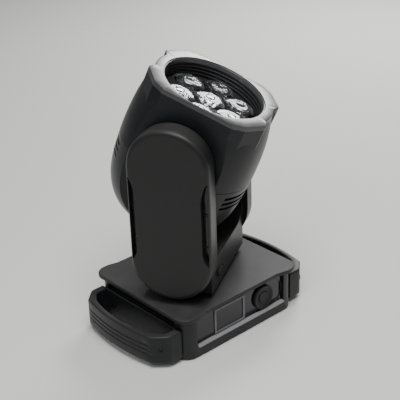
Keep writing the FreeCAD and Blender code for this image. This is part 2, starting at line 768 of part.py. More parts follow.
def led_board():
    board = rod(64, LED_Z, LED_Z + 2).common(block(-SINK_HALF_X, SINK_HALF_X, -66, 66, 0, 20))
    x, y = ring_place(270)
    guide_holes = [rod(GUIDE_R + 1, 0, 20, *ring_place(angle)) for angle in (30, 150)]
    board = cut_all(board, [rod(8, 0, 20, x, y)] + guide_holes)
    emitters = [block(x - 5, x + 5, y - 5, y + 5, LED_Z + 2, LED_Z + 4) for x, y in lens_places()]
    return fuse([board] + emitters)


def light_rods():
    return [Part.makeCone(4, 11, 26, V(x, y, LED_Z + 4), Z) for x, y in lens_places()]


def heat_sink():
    plate = rod(66, 0, LED_Z).common(block(-SINK_HALF_X, SINK_HALF_X, -66, 66, 0, LED_Z))
    fins = [block(x - 1, x + 1, -60, 60, -46, 0) for x in range(-60, 61, 8)]
    sink = fuse([plate] + [fin.common(rod(64, -50, 1)) for fin in fins])
    x, y = ring_place(270)
    sink = sink.cut(rod(15, -60, 20, x, y))
    guides = [ring_place(angle) for angle in (30, 150)]
    wide = [rod(GUIDE_R + 1, -60, 0, gx, gy) for gx, gy in guides]
    return cut_all(sink, wide + [rod(GUIDE_R + FIT, -1, LED_Z, gx, gy) for gx, gy in guides])


def chassis():
    """Steel strap that ties the two tilt shafts to the underside of the heat sink."""
    cheek = block(67, 72, -30, 30, -52, 30)
    strap = block(-72, 72, -18, 18, -52, -48)
    whole = fuse([cheek, mirrored(cheek, X), strap])
    return whole.cut(rod_x(SHAFT_R, -100, 100))


def fan_frame():
    frame = rounded_box(46, 46, FAN_LOW, FAN_HIGH, 6).cut(rod(43, FAN_LOW - 1, FAN_HIGH + 1))
    hub = rod(14, FAN_LOW, FAN_LOW + 3)
    spokes = [turned(block(10, 44, -2, 2, FAN_LOW, FAN_LOW + 3), angle) for angle in (45, 165, 285)]
    return fuse([frame, hub] + spokes)


def fan_rotor():
    hub = rod(16, FAN_LOW + 4, FAN_HIGH - 2)
    blades = []
    for index in range(7):
        blade = block(14, 41, -0.9, 0.9, -8, 8)
        blade = moved(turned(blade, 38, X), z=(FAN_LOW + FAN_HIGH) / 2 + 1)
        blades.append(turned(blade, 360.0 / 7 * index))
    return fuse([hub] + blades)


def zoom_motor():
    x, y = ring_place(270)
    return rod(12, -14, LED_Z, x, y).cut(rod(SCREW_R + FIT, LED_Z - 8, LED_Z + 1, x, y))


def zoom_screw():
    """Lead screw with a shallow thread cut as grooves."""
    x, y = ring_place(270)
    screw = rod(SCREW_R, LED_Z - 7, CARRIAGE_LOW, x, y)
    grooves = [ring(SCREW_R + 1, SCREW_R - 0.4, z, z + 1.0, x, y) for z in range(18, 34, 3)]
    return screw.cut(Part.makeCompound(grooves))


def guide_rods():
    rods = []
    for angle in (30, 150):
        x, y = ring_place(angle)
        rods.append(rod(GUIDE_R, -4, CARRIAGE_LOW + 3, x, y))
    return rods


def tilt_shaft(high):
    """Hollow shaft on the +X side with a flange inside the head."""
    tube = ring_x(SHAFT_R, 10, 62, high)
    flange = ring_x(24, SHAFT_R, 62, 67)
    return fuse([tube, flange])


def tilt_pulley():
    wheel = toothed(TILT_PULLEY_R, TILT_WHEEL_IN, TILT_WHEEL_OUT, TILT_TEETH)
    wheel = wheel.cut(rod(SHAFT_R, 0, 200))
    return turned(wheel, -90, Y)


def hub_ring():
    return ring_x(48, SHAFT_R, FLAT_X, FLAT_X + 2.6)


# Everything is written out here, one file for each piece.

os.makedirs("parts", exist_ok=True)

save("feet", *base_feet())
save("floor_plate", floor_plate())
save("clamp_sockets", *clamp_sockets())
save("safety_eye", safety_eye())
save("base_tub", tub())
save("top_plate", top_plate())
save("handle_right", handle())
save("handle_left", mirrored(handle(), X))
save("side_grilles", side_grille(), mirrored(side_grille(), X))
save("front_panel", front_panel())
save("display_frame", display_frame())
save("display_window", display_window())
save("display_module", display_module())
save("trim_strip", trim_strip())
save("jog_dial", jog_dial())
save("dial_button", dial_button())
save("rear_panel", rear_panel())
save("power_inlet", power_socket(SOCKET_XS["power_inlet"], True))
save("power_outlet", power_socket(SOCKET_XS["power_outlet"], False))
save("data_inlet", data_socket(SOCKET_XS["data_inlet"], True))
save("data_outlet", data_socket(SOCKET_XS["data_outlet"], False))
save("base_screws", *base_screws())
save("power_supply", moved(power_supply(), x=8, y=-46))
save("control_board", control_board())
save("pan_spindle", pan_spindle())
save("pan_pulley", pan_pulley())

save("yoke_frame", on_yoke(yoke_frame()))
save("crossbar_lid", on_yoke(bar_lid()))
save("arm_cover_right", on_yoke(arm_cover()))
save("arm_cover_left", on_yoke(mirrored(arm_cover(), X)))
save("arm_trims", *[on_yoke(strip) for strip in arm_trims() + [mirrored(s, X) for s in arm_trims()]])
save("cover_screws", *[on_yoke(head) for head in cover_screws()])
save("bearings", *[on_yoke(race) for race in (tilt_bearing(), mirrored(tilt_bearing(), X), pan_bearing())])
save("pan_motor", on_yoke(pan_motor()))
save("pan_pinion", on_yoke(pan_pinion()))
save("pan_belt", on_yoke(pan_belt()))
save("tilt_motor", on_yoke(tilt_motor()))
save("tilt_pinion", on_yoke(tilt_pinion()))
save("tilt_belt", on_yoke(tilt_belt()))
save("driver_board", on_yoke(driver_board()))
save("pan_lock", on_yoke(pan_lock()))
save("tilt_lock", on_yoke(tilt_lock()))

save("bezel", on_head(bezel()))
save("front_housing", on_head(front_housing()))
save("rear_housing", on_head(rear_housing()))
save("barrel", on_head(barrel()))
save("lens_plate", on_head(lens_plate()))
save("lenses", *[on_head(lens) for lens in lenses()])
save("led_board", on_head(led_board()))
save("light_rods", *[on_head(cone) for cone in light_rods()])
save("heat_sink", on_head(heat_sink()))
save("head_chassis", on_head(chassis()))
save("fan_frame", on_head(fan_frame()))
save("fan_rotor", on_head(fan_rotor()))
save("zoom_motor", on_head(zoom_motor()))
save("zoom_screw", on_head(zoom_screw()))
save("guide_rods", *[on_head(rail) for rail in guide_rods()])
save("tilt_shafts", on_head(tilt_shaft(94)), on_head(mirrored(tilt_shaft(103), X)))
save("tilt_pulley", on_head(tilt_pulley()))
save("hub_rings", on_head(hub_ring()), on_head(mirrored(hub_ring(), X)))
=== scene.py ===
import json
import math

import bmesh
import bpy
from mathutils import Matrix, Vector


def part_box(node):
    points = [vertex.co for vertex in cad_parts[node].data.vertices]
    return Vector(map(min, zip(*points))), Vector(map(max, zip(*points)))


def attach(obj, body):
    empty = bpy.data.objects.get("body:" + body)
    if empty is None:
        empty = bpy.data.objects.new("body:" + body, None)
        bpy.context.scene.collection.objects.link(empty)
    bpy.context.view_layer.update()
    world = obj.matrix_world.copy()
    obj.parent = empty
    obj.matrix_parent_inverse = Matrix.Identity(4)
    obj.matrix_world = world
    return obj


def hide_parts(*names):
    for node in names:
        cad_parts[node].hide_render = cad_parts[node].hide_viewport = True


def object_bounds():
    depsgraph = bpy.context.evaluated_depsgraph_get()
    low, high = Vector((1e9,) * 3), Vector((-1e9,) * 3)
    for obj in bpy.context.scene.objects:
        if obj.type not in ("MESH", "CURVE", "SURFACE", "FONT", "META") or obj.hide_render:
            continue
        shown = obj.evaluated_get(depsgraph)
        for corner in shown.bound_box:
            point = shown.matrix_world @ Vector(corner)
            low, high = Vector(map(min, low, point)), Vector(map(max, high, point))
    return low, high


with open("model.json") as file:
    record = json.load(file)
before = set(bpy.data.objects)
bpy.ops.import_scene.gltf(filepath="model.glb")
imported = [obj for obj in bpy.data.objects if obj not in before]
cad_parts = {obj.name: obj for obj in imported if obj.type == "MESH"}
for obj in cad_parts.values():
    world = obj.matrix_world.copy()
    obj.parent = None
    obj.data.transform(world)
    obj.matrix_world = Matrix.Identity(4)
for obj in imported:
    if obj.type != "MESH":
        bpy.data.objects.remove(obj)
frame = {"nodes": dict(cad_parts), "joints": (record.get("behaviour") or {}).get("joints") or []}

cad_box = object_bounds()
nodes = frame["nodes"]
joints = {joint["name"]: joint for joint in frame["joints"]}
MM = 0.001


# Feet. Four soft rubber pads under the corners of the base, pressed into the floor plate.
# Their finish is the first of the moulded ones, which share a grain, an edge and a dust effect.

def effect_group(name, inputs, outputs):
    group = bpy.data.node_groups.new(name, "ShaderNodeTree")
    for label, kind in inputs:
        group.interface.new_socket(label, in_out="INPUT", socket_type=kind)
    for label, kind in outputs:
        group.interface.new_socket(label, in_out="OUTPUT", socket_type=kind)
    entry = group.nodes.new("NodeGroupInput")
    end = group.nodes.new("NodeGroupOutput")
    return group, entry, end


def worked_out(tree, operation, first, second=None, clamp=False):
    node = tree.nodes.new("ShaderNodeMath")
    node.operation = operation
    node.use_clamp = clamp
    for socket, value in zip(node.inputs, (first, second)):
        if isinstance(value, (int, float)):
            socket.default_value = value
        elif value is not None:
            tree.links.new(value, socket)
    return node.outputs[0]


def cloud(tree, position, scale, detail=3.0, roughness=0.6):
    noise = tree.nodes.new("ShaderNodeTexNoise")
    noise.inputs["Detail"].default_value = detail
    noise.inputs["Roughness"].default_value = roughness
    tree.links.new(position, noise.inputs["Vector"])
    if isinstance(scale, (int, float)):
        noise.inputs["Scale"].default_value = scale
    else:
        tree.links.new(scale, noise.inputs["Scale"])
    return noise.outputs["Fac"]


def moulded_grain():
    """Fine spark-eroded grain of a mould, with a slow mottle from uneven abrasion of its surface."""
    group, entry, end = effect_group(
        "moulded_grain",
        [("Position", "NodeSocketVector"), ("Grains per Metre", "NodeSocketFloat")],
        [("Height", "NodeSocketFloat"), ("Mottle", "NodeSocketFloat")])
    grain = cloud(group, entry.outputs["Position"], entry.outputs["Grains per Metre"], 2.0)
    coarse = worked_out(group, "DIVIDE", entry.outputs["Grains per Metre"], 90.0)
    mottle = cloud(group, entry.outputs["Position"], coarse, 5.0, 0.65)
    group.links.new(grain, end.inputs["Height"])
    group.links.new(mottle, end.inputs["Mottle"])
    return group


def worn_and_highlit_edges():
    """Where hands and cases rub, and a painted highlight for the light the rims catch: a mask on the sharp
    edges, and the normal of the same edges rounded off.
    """
    group, entry, end = effect_group(
        "worn_and_highlit_edges",
        [("Position", "NodeSocketVector"), ("Radius", "NodeSocketFloat")],
        [("Edge", "NodeSocketFloat"), ("Rounded Normal", "NodeSocketVector")])
    bevel = group.nodes.new("ShaderNodeBevel")
    bevel.samples = 4
    surface = group.nodes.new("ShaderNodeNewGeometry")
    facing = group.nodes.new("ShaderNodeVectorMath")
    facing.operation = "DOT_PRODUCT"
    group.links.new(entry.outputs["Radius"], bevel.inputs["Radius"])
    group.links.new(bevel.outputs["Normal"], facing.inputs[0])
    group.links.new(surface.outputs["Normal"], facing.inputs[1])
    turned_away = worked_out(group, "SUBTRACT", 1.0, facing.outputs["Value"])
    strong = worked_out(group, "MULTIPLY", turned_away, 7.0, clamp=True)
    patches = cloud(group, entry.outputs["Position"], 140.0, 4.0)
    broken = worked_out(group, "SUBTRACT", patches, 0.35, clamp=True)
    worn_and_lit = worked_out(group, "MULTIPLY", strong, worked_out(group, "MULTIPLY", broken, 2.4), clamp=True)
    group.links.new(worn_and_lit, end.inputs["Edge"])
    group.links.new(bevel.outputs["Normal"], end.inputs["Rounded Normal"])
    return group


def settled_dust():
    """Fine dust that lies in soft patches on what faces up."""
    group, entry, end = effect_group(
        "settled_dust",
        [("Position", "NodeSocketVector")],
        [("Dust", "NodeSocketFloat")])
    surface = group.nodes.new("ShaderNodeNewGeometry")
    split = group.nodes.new("ShaderNodeSeparateXYZ")
    group.links.new(surface.outputs["Normal"], split.inputs["Vector"])
    upward = worked_out(group, "SUBTRACT", split.outputs["Z"], 0.35, clamp=True)
    patches = cloud(group, entry.outputs["Position"], 26.0, 6.0, 0.7)
    specks = cloud(group, entry.outputs["Position"], 2600.0, 1.0)
    mixed = worked_out(group, "MULTIPLY", patches, specks)
    group.links.new(worked_out(group, "MULTIPLY", upward, mixed), end.inputs["Dust"])
    return group


GRAIN = moulded_grain()
EDGES = worn_and_highlit_edges()
DUST = settled_dust()
DUST_COLOUR = (0.30, 0.29, 0.27, 1)


def blended(tree, share, first, second):
    mix = tree.nodes.new("ShaderNodeMix")
    mix.data_type = "RGBA"
    tree.links.new(share, mix.inputs["Factor"])
    for socket, value in ((mix.inputs["A"], first), (mix.inputs["B"], second)):
        if isinstance(value, tuple):
            socket.default_value = value
        else:
            tree.links.new(value, socket)
    return mix.outputs["Result"]


def finish(name, colour, roughness, grains=2500.0, depth=0.02, worn_and_lit=None, wear_and_highlight=0.4, dust=0.5,
           metallic=0.0, coat=0.0, radius=0.8 * MM, uneven=0.12, gloss=0.28):
    """A solid finish: its colour with a slow mottle, edges lightened by use and by a painted highlight, dust
    on top and a fine grain.
    """
    material = bpy.data.materials.new(name)
    material.use_nodes = True
    tree = material.node_tree
    shader = tree.nodes["Principled BSDF"]
    shader.inputs["Metallic"].default_value = metallic
    shader.inputs["Specular IOR Level"].default_value = gloss
    shader.inputs["Coat Weight"].default_value = coat
    shader.inputs["Coat Roughness"].default_value = 0.08
    position = tree.nodes.new("ShaderNodeTexCoord").outputs["Object"]
    grain, edges, dusty = [tree.nodes.new("ShaderNodeGroup") for _ in range(3)]
    grain.node_tree, edges.node_tree, dusty.node_tree = GRAIN, EDGES, DUST
    for node in (grain, edges, dusty):
        tree.links.new(position, node.inputs["Position"])
    grain.inputs["Grains per Metre"].default_value = grains
    edges.inputs["Radius"].default_value = radius
    base = (*colour, 1)
    lighter = (*[min(1.0, channel * 1.35 + 0.002) for channel in colour], 1)
    scuffed_and_lit = (*(worn_and_lit or [min(1.0, channel * 2.0 + 0.02) for channel in colour]), 1)
    mottled = blended(tree, grain.outputs["Mottle"], base, lighter)
    # Edge mask lightens sharp edges: partly use marks, partly a painted highlight for the light the rims
    # catch.
    wear_and_highlight_share = worked_out(tree, "MULTIPLY", edges.outputs["Edge"], wear_and_highlight)
    rubbed_and_lit = blended(tree, wear_and_highlight_share, mottled, scuffed_and_lit)
    dust_share = worked_out(tree, "MULTIPLY", dusty.outputs["Dust"], dust)
    tree.links.new(blended(tree, dust_share, rubbed_and_lit, DUST_COLOUR), shader.inputs["Base Color"])
    centred = worked_out(tree, "SUBTRACT", grain.outputs["Mottle"], 0.5)
    swing = worked_out(tree, "MULTIPLY", centred, uneven * 2)
    rough = worked_out(tree, "ADD", swing, roughness)
    dusted = worked_out(tree, "ADD", rough, dust_share, clamp=True)
    tree.links.new(dusted, shader.inputs["Roughness"])
    bump = tree.nodes.new("ShaderNodeBump")
    bump.inputs["Strength"].default_value = 1.0
    bump.inputs["Distance"].default_value = depth * MM
    tree.links.new(grain.outputs["Height"], bump.inputs["Height"])
    tree.links.new(edges.outputs["Rounded Normal"], bump.inputs["Normal"])
    tree.links.new(bump.outputs["Normal"], shader.inputs["Normal"])
    return material


def dress(material, *names):
    """Gives CAD nodes their finish."""
    for name in names:
        slots = nodes[name].data.materials
        slots.clear()
        slots.append(material)


SOFT_RUBBER = finish("soft_rubber", (0.018, 0.018, 0.018), 0.85, grains=1800, depth=0.05, wear_and_highlight=0.2)
dress(SOFT_RUBBER, "feet")


# Floor plate with its fastening points. The plate is pressed steel, black powder coat; the four
# quarter-turn sockets and the drilled bar for the safety cable are zinc plated.

POWDER_COAT = finish("powder_coat", (0.022, 0.022, 0.024), 0.55, grains=900, depth=0.06, uneven=0.06)
ZINC = finish("zinc_plate", (0.46, 0.46, 0.47), 0.34, grains=600, depth=0.01, metallic=1.0, wear_and_highlight=0.2,
              dust=0.1)
dress(POWDER_COAT, "floor_plate")
dress(ZINC, "clamp_sockets", "safety_eye")


# Tub and lid of the base. The tub is one black moulding with a rim and four round posts; the lid
# is a thinner dark grey one that overhangs it, with a fine matt grain.

TUB_PLASTIC = finish("tub_plastic", (0.007, 0.0075, 0.009), 0.44, grains=1500, depth=0.03, gloss=0.4)
LID_PLASTIC = finish("lid_plastic", (0.016, 0.016, 0.0175), 0.44, grains=1300, depth=0.035, dust=0.5,
                     wear_and_highlight=0.7, radius=1.2 * MM)
dress(TUB_PLASTIC, "base_tub", "side_grilles")
dress(LID_PLASTIC, "top_plate")


# Carrying handles. Each is a D-shaped loop of glass-filled nylon, screwed to the side of the tub,
# with rounded edges and three shallow grooves along its outer face.

HANDLE_EDGE = 2.6 * MM
HANDLE_WALL, HANDLE_END_WALL = 8 * MM, 12 * MM
HANDLE_FOOT = 3 * MM
OUTER_CORNER, INNER_CORNER = 12 * MM, 9 * MM
BOW_RISE, BOW_SHORT = 9 * MM, 17 * MM
GROOVE_DEPTH = 1.1 * MM
GROOVE_HALF, GROOVE_FLOOR_HALF = 1.8 * MM, 0.7 * MM
GROOVE_END, GROOVE_BAND = 18 * MM, 9.4 * MM
GROOVE_SHARES = (0.34, 0.5, 0.66)
# Its strong edge mask paints the handle's top edge lighter, partly as a painted highlight of the lit rim.
NYLON = finish("handle_nylon", (0.010, 0.0105, 0.012), 0.40, grains=1700, depth=0.03, wear_and_highlight=0.7)


def new_piece(name, bm, place, body, material, sharp=38.0):
    """Turns a finished bmesh into an object at the origin that rides on its body."""
    bmesh.ops.remove_doubles(bm, verts=bm.verts, dist=1e-6)
    bmesh.ops.recalc_face_normals(bm, faces=bm.faces)
    bmesh.ops.transform(bm, matrix=place, verts=bm.verts)
    mesh = bpy.data.meshes.new(name)
    bm.to_mesh(mesh)
    bm.free()
    mesh.materials.append(material)
    mesh.shade_smooth()
    mesh.set_sharp_from_angle(angle=math.radians(sharp))
    piece = bpy.data.objects.new(name, mesh)
    bpy.context.scene.collection.objects.link(piece)
    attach(piece, body)
    return piece


def drawn_loop(bm, points):
    verts = [bm.verts.new(point) for point in points]
    edges = [bm.edges.new((verts[i - 1], verts[i])) for i in range(len(verts))]
    return verts, edges


def arc_points(centre, radius, start, end, steps):
    angles = [math.radians(start + (end - start) * i / steps) for i in range(steps + 1)]
    return [(centre[0] + radius * math.cos(a), centre[1] + radius * math.sin(a)) for a in angles]


def corner_arc(before, here, after, radius, steps=6):
    """The arc that rounds one corner of an outline."""
    here = Vector(here)
    back = (Vector(before) - here).normalized()
    ahead = (Vector(after) - here).normalized()
    half_angle = back.angle(ahead) / 2
    centre = here + (back + ahead).normalized() * radius / math.sin(half_angle)
    start = here + back * radius / math.tan(half_angle) - centre
    end = here + ahead * radius / math.tan(half_angle) - centre
    turn = start.angle_signed(end)
    return [centre + Matrix.Rotation(-turn * k / steps, 2) @ start for k in range(steps + 1)]


def d_plan(near, reach, half, corner):
    """One side of a handle in plan: square to the base, bowed outwards."""
    bow_x, bow_y = reach - BOW_RISE, half - BOW_SHORT
    end_x = near + 0.44 * (reach - near)
    lift = reach - bow_x
    bow_r = (bow_y ** 2 + lift ** 2) / (2 * lift)
    swing = math.degrees(math.asin(bow_y / bow_r))
    bow = arc_points((reach - bow_r, 0), bow_r, -swing, swing, 14)
    before = corner_arc((near, -half), (end_x, -half), bow[0], corner)
    after = corner_arc(bow[-1], (end_x, half), (near, half), corner)
    front = [Vector(point) for point in bow]
    return [Vector((near, -half))] + before + front + after + [Vector((near, half))]


for side, node in ((1, "handle_right"), (-1, "handle_left")):
    low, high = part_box(node)
    reach = max(abs(low.x), abs(high.x))
    near = min(abs(low.x), abs(high.x))
    half = high.y
    outer_plan = d_plan(near, reach, half, OUTER_CORNER)
    inner_plan = d_plan(near + HANDLE_FOOT, reach - HANDLE_WALL, half - HANDLE_END_WALL, INNER_CORNER)
    bm = bmesh.new()
    rings = []
    for plan in (outer_plan, inner_plan):
        verts, edges = drawn_loop(bm, [(p.x, p.y, low.z) for p in plan])
        rings.append(edges)
    bmesh.ops.bridge_loops(bm, edges=rings[0] + rings[1])
    top = bmesh.ops.extrude_face_region(bm, geom=bm.faces[:] + bm.edges[:] + bm.verts[:])
    lifted = [item for item in top["geom"] if isinstance(item, bmesh.types.BMVert)]
    bmesh.ops.translate(bm, verts=lifted, vec=(0, 0, high.z - low.z))
    bmesh.ops.recalc_face_normals(bm, faces=bm.faces)
    rim = [edge for edge in bm.edges if len(edge.link_faces) == 2 and edge.calc_face_angle() > 1.2
           and abs(edge.verts[0].co.z - edge.verts[1].co.z) < 1e-6]
    bmesh.ops.bevel(bm, geom=rim, offset=HANDLE_EDGE, segments=4, profile=0.5, affect="EDGES", material=-1)
    span = high.z - low.z
    for share in GROOVE_SHARES:
        middle = low.z + share * span
        cuts = [middle - GROOVE_HALF, middle - GROOVE_FLOOR_HALF,
                middle + GROOVE_FLOOR_HALF, middle + GROOVE_HALF]
        for height in cuts:
            bmesh.ops.bisect_plane(bm, geom=bm.verts[:] + bm.edges[:] + bm.faces[:],
                                   plane_co=(0, 0, height), plane_no=(0, 0, 1))
        for vert in bm.verts:
            outside = abs(vert.co.y) < half - GROOVE_END and vert.co.x > reach - GROOVE_BAND - 1e-5
            if outside and cuts[0] + 1e-5 < vert.co.z < cuts[3] - 1e-5 and vert.normal.x > 0.3:
                vert.co.x -= GROOVE_DEPTH
    if side < 0:
        bmesh.ops.scale(bm, vec=(-1, 1, 1), verts=bm.verts)
    name = "grip_" + node.split("_")[1]
    handle = new_piece(name, bm, Matrix.Identity(4), "base", NYLON)
    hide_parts(node)


# Screws of the handles and the floor plate. Black oxide cap screws with a six-sided recess: one in
# each slanted end of a handle, and six pan heads round the edge of the floor plate.

BLACK_OXIDE = finish("black_oxide", (0.014, 0.014, 0.015), 0.30, grains=2600, depth=0.01, metallic=0.85,
                     worn_and_lit=(0.34, 0.33, 0.32), wear_and_highlight=0.8, dust=0.2)
HANDLE_SCREW_X, HANDLE_SCREW_Y, HANDLE_SCREW_Z = 140.9, 80.2, 30
HANDLE_SLANT = (17, 18.7)
HANDLE_SCREW_R, HANDLE_SCREW_HEAD = 3.4 * MM, 1.3 * MM
FLOOR_LOW = 4 * MM
FLOOR_SCREW_R, FLOOR_SCREW_HEAD = 3 * MM, 1.4 * MM
FLOOR_SCREWS = [(x * MM, y * MM) for x, y in ((-96, -62), (-96, 62), (96, -62), (96, 62), (0, -84), (0, 84))]


def spun(bm, profile, steps):
    """A turned shape: the profile's (radius, height) points spun a full turn about +Z."""
    verts = [bm.verts.new((r, 0, z)) for r, z in profile]
    edges = [bm.edges.new(pair) for pair in zip(verts, verts[1:])]
    bmesh.ops.spin(bm, geom=verts + edges, cent=(0, 0, 0), axis=(0, 0, 1), dvec=(0, 0, 0),
                   angle=math.tau, steps=steps, use_merge=True, use_duplicate=False)
    bmesh.ops.remove_doubles(bm, verts=bm.verts, dist=1e-6)


def added(bm, part):
    """Puts a finished part into a larger mesh."""
    mesh = bpy.data.meshes.new("part")
    part.to_mesh(mesh)
    part.free()
    bm.from_mesh(mesh)
    bpy.data.meshes.remove(mesh)


def screw_head(bm, centre, direction, radius, height):
    """A domed cap with a six-sided recess, standing on the surface at the centre."""
    cap = bmesh.new()
    spun(cap, [(0, height * 0.35), (radius * 0.5, height * 0.35), (radius * 0.5, height * 0.92),
               (radius * 0.62, height), (radius * 0.85, height * 0.85), (radius, height * 0.45), (radius, 0),
               (0, 0)], 24)
    for vert in cap.verts:
        reach = math.hypot(vert.co.x, vert.co.y)
        if radius * 0.45 < reach < radius * 0.55:
            turn = math.atan2(vert.co.y, vert.co.x) % math.radians(60) - math.radians(30)
            vert.co.x *= 0.9 / math.cos(turn)
            vert.co.y *= 0.9 / math.cos(turn)
    turn_to = Vector((0, 0, 1)).rotation_difference(Vector(direction)).to_matrix().to_4x4()
    bmesh.ops.transform(cap, matrix=Matrix.Translation(centre) @ turn_to, verts=cap.verts)
    added(bm, cap)


bm = bmesh.new()
for side in (-1, 1):
    for end in (-1, 1):
        outwards = Vector((side * HANDLE_SLANT[0], end * HANDLE_SLANT[1], 0)).normalized()
        face = Vector((side * HANDLE_SCREW_X, end * HANDLE_SCREW_Y, HANDLE_SCREW_Z)) * MM
        screw_head(bm, face, outwards, HANDLE_SCREW_R, HANDLE_SCREW_HEAD)
for x, y in FLOOR_SCREWS:
    screw_head(bm, (x, y, FLOOR_LOW), (0, 0, -1), FLOOR_SCREW_R, FLOOR_SCREW_HEAD)
new_piece("case_screws", bm, Matrix.Identity(4), "base", BLACK_OXIDE, 35)


# Front panel. A gloss black plate set into the tub carries the display, in a thin grey frame, and
# the dial; a satin grey strip runs along its lower edge. The glass is a dark tinted sheet.

PANEL_GLOSS = finish("panel_gloss", (0.003, 0.003, 0.004), 0.12, grains=300, depth=0.002, coat=0.3,
                     uneven=0.05, dust=0.25, wear_and_highlight=0.3, gloss=0.4)
TRIM_GREY = finish("trim_grey", (0.26, 0.26, 0.27), 0.34, grains=1500, depth=0.01, wear_and_highlight=0.3, dust=0.2)
FRAME_GREY = finish("display_frame_grey", (0.13, 0.13, 0.135), 0.28, grains=1500, depth=0.01, wear_and_highlight=0.5)
GLASS_DARK = finish("display_glass_dark", (0.003, 0.0035, 0.005), 0.06, grains=200, depth=0.001, coat=0.4,
                    uneven=0.03, dust=0.2)
dress(PANEL_GLOSS, "front_panel")
dress(TRIM_GREY, "trim_strip")
dress(FRAME_GREY, "display_frame")
dress(GLASS_DARK, "display_window")


# Dial and its push button. The ring is a soft-touch moulding, dished at the front and knurled
# round its edge; the button in its middle is slightly domed with a rolled rim.

DIAL_SOFT = finish("dial_soft_touch", (0.009, 0.009, 0.010), 0.50, grains=2200, depth=0.02, wear_and_highlight=0.5)
KNURLS = 36
KNURL_DEPTH = 0.45 * MM

dial_low, dial_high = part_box("jog_dial")
dial_r = (dial_high.x - dial_low.x) / 2
dial_centre = (dial_low + dial_high) / 2
dial_depth = dial_high.y - dial_low.y
button_low, button_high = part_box("dial_button")
button_r = (button_high.x - button_low.x) / 2
FACING_FRONT = (Matrix.Translation((dial_centre.x, dial_high.y, dial_centre.z))
                @ Matrix.Rotation(math.radians(90), 4, "X"))

bm = bmesh.new()
hole = button_r + 0.4 * MM
rim_low = dial_depth - 4.3 * MM
spun(bm, [(hole, 0), (dial_r - 4.4 * MM, 0), (dial_r - 4.4 * MM, rim_low), (dial_r, rim_low),
          (dial_r, dial_depth - 1.0 * MM), (dial_r - 0.4 * MM, dial_depth - 0.3 * MM),
          (dial_r - 1.2 * MM, dial_depth), (dial_r - 2.6 * MM, dial_depth - 0.2 * MM),
          (dial_r - 5.0 * MM, dial_depth - 1.7 * MM), (hole + 2.0 * MM, dial_depth - 2.2 * MM),
          (hole + 0.6 * MM, dial_depth - 2.0 * MM), (hole, dial_depth - 2.4 * MM), (hole, 0)], KNURLS * 4)
for vert in bm.verts:
    flat = Vector((vert.co.x, vert.co.y, 0))
    turn = math.atan2(vert.co.y, vert.co.x) * KNURLS
    if flat.length > dial_r - 0.5 * MM and vert.co.z > rim_low + 0.1 * MM:
        vert.co -= flat.normalized() * KNURL_DEPTH * (0.5 + 0.5 * math.cos(turn))
dial = new_piece("dial_ring", bm, FACING_FRONT, "jog_dial", DIAL_SOFT, 30)
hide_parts("jog_dial")

bm = bmesh.new()
button_top = dial_high.y - button_low.y
button_bottom = dial_high.y - button_high.y
spun(bm, [(0, button_bottom), (button_r, button_bottom), (button_r, button_top - 0.8 * MM),
          (button_r - 0.3 * MM, button_top - 0.25 * MM), (button_r - 1.0 * MM, button_top),
          (button_r - 2.0 * MM, button_top - 0.35 * MM), (button_r * 0.5, button_top - 0.15 * MM),
          (0, button_top - 0.05 * MM)], 64)
button = new_piece("dial_push", bm, FACING_FRONT, "dial_button", DIAL_SOFT, 40)
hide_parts("dial_button")


# Rear panel and its sockets: mains in and through in black nylon, control in and out in zinc
# die-casting. Each flange is held by two countersunk screws in opposite corners.

SOCKET_NYLON = finish("socket_nylon", (0.028, 0.029, 0.032), 0.5, grains=1800, depth=0.02)
dress(POWDER_COAT, "rear_panel")
dress(SOCKET_NYLON, "power_inlet", "power_outlet")
dress(ZINC, "data_inlet", "data_outlet")
dress(BLACK_OXIDE, "base_screws")
FLANGE_SCREW_INSET = 3.6 * MM
FLANGE_SCREW_R, FLANGE_SCREW_HEAD = 1.7 * MM, 0.9 * MM
FLANGE_SCREW_SUNK = 0.05 * MM

bm = bmesh.new()
for node in ("power_inlet", "power_outlet", "data_inlet", "data_outlet"):
    low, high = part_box(node)
    corners = ((low.x + FLANGE_SCREW_INSET, high.z - FLANGE_SCREW_INSET),
               (high.x - FLANGE_SCREW_INSET, low.z + FLANGE_SCREW_INSET))
    for x, z in corners:
        screw_head(bm, (x, high.y - FLANGE_SCREW_SUNK, z), (0, 1, 0), FLANGE_SCREW_R, FLANGE_SCREW_HEAD)
new_piece("socket_screws", bm, Matrix.Identity(4), "base", BLACK_OXIDE, 35)


# Contacts in the sockets. Three flat blades in each mains socket and five turned pins in each
# control socket, brass with bright plating, pressed into the back of the cavity.

CONTACT_METAL = finish("contact_plate", (0.66, 0.62, 0.50), 0.25, grains=600, depth=0.005, metallic=1.0,
                       dust=0.05, wear_and_highlight=0.1)
CAVITY_BACK = 81.2 * MM
PIN_TIP = 87.0 * MM
PIN_R, PIN_TIP_R, PIN_CIRCLE_R = 0.95 * MM, 0.45 * MM, 5 * MM
BLADE_WIDTH, BLADE_THICKNESS, BLADE_CIRCLE_R = 4.2 * MM, 1.2 * MM, 5.4 * MM
BLADE_EDGE = 0.3 * MM

